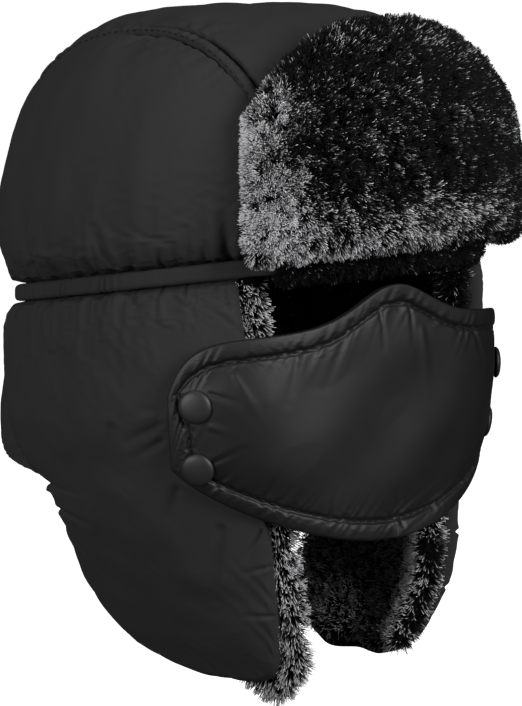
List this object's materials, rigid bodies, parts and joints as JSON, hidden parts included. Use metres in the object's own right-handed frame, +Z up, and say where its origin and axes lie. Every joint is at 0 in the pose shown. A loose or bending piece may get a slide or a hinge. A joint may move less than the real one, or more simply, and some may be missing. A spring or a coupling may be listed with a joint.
{
  "type": "trapper hat",
  "caption": "Padded nylon trapper hat with a fur lining, a fur visor turned up against the crown, fur-lined ear flaps and a face mask held by snaps.",
  "frame": {"origin": "centre of the head opening at the level of the headband", "axes": "+Z up, the hat faces -Y and the wearer's left is +X"},
  "size_m": [0.2204, 0.2543, 0.3152],
  "materials": {
    "nylon_shell": "black nylon with a soft satin sheen",
    "faux_fur": "black pile with silver-grey tips",
    "wadding": "matt white wadding",
    "elastic": "matt woven elastic",
    "mask_cloth": "black nylon with a soft satin sheen",
    "snap_cap": "satin dark grey",
    "snap_metal": "plain steel"
  },
  "bodies": {
    "hat": {"crown_top_panel": "nylon_shell", "crown_side_panel_right": "nylon_shell", "crown_side_panel_left": "nylon_shell", "crown_welt_right": "nylon_shell", "crown_welt_left": "nylon_shell", "headband": "nylon_shell", "elastic_casing": "nylon_shell", "ear_flap_shell_right": "nylon_shell", "ear_flap_shell_left": "nylon_shell", "neck_panel": "nylon_shell", "crown_fur_lining": "faux_fur", "ear_flap_fur_right": "faux_fur", "ear_flap_fur_left": "faux_fur", "neck_fur_lining": "faux_fur", "crown_wadding": "wadding", "ear_flap_wadding_right": "wadding", "ear_flap_wadding_left": "wadding", "neck_wadding": "wadding", "back_elastic": "elastic", "snap_stud_right_upper": "snap_metal", "snap_post_right_upper": "snap_metal", "snap_stud_right_lower": "snap_metal", "snap_post_right_lower": "snap_metal", "snap_stud_left_upper": "snap_metal", "snap_post_left_upper": "snap_metal", "snap_stud_left_lower": "snap_metal", "snap_post_left_lower": "snap_metal"},
    "visor": {"visor_shell": "nylon_shell", "visor_interlining": "wadding", "visor_fur": "faux_fur"},
    "mask": {"mask_shell": "mask_cloth", "mask_lining": "mask_cloth", "mask_hem": "mask_cloth", "snap_cap_right_upper": "snap_cap", "snap_cap_right_lower": "snap_cap", "snap_cap_left_upper": "snap_cap", "snap_cap_left_lower": "snap_cap", "snap_socket_right_upper": "snap_metal", "snap_socket_right_lower": "snap_metal", "snap_socket_left_upper": "snap_metal", "snap_socket_left_lower": "snap_metal"}
  },
  "joints": [
    {"name": "visor_fold", "type": "hinge", "parent": "hat", "child": "visor", "pos_m": [0, -0.1098, 0.02242], "axis": [1, 0, 0], "range_deg": [0, 90]},
    {"name": "mask_off", "type": "slide", "parent": "hat", "child": "mask", "axis": [0, -1, 0], "range_m": [0, 0.1]}
  ]
}
